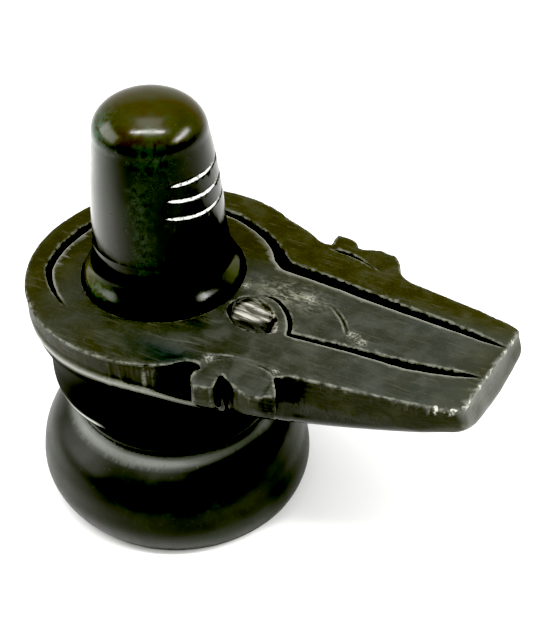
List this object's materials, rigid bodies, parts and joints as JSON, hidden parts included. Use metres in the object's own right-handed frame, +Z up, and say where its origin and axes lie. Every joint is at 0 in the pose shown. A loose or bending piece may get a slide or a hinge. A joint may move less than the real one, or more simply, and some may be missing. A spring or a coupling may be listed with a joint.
{
  "type": "shiva lingam",
  "caption": "Small carved dark stone lingam with a roll collar, rising from a flat grooved plate that runs out into a tapered spout, on a bowl and a round bulging foot.",
  "frame": {"origin": "on the foot's flat underside, on the upright axis that the waist and the bowl are turned on, under a millimetre from the underside's own centre", "axes": "+Z up along the turned axis, +X along the spout, towards its tip"},
  "size_m": [0.1073, 0.0647, 0.1],
  "materials": {
    "dark_stone": "polished on the turned foot, bowl and lingam; matte and filed on the plate and its walls"
  },
  "bodies": {
    "root": {"shiva_lingam": "dark_stone"}
  },
  "joints": []
}
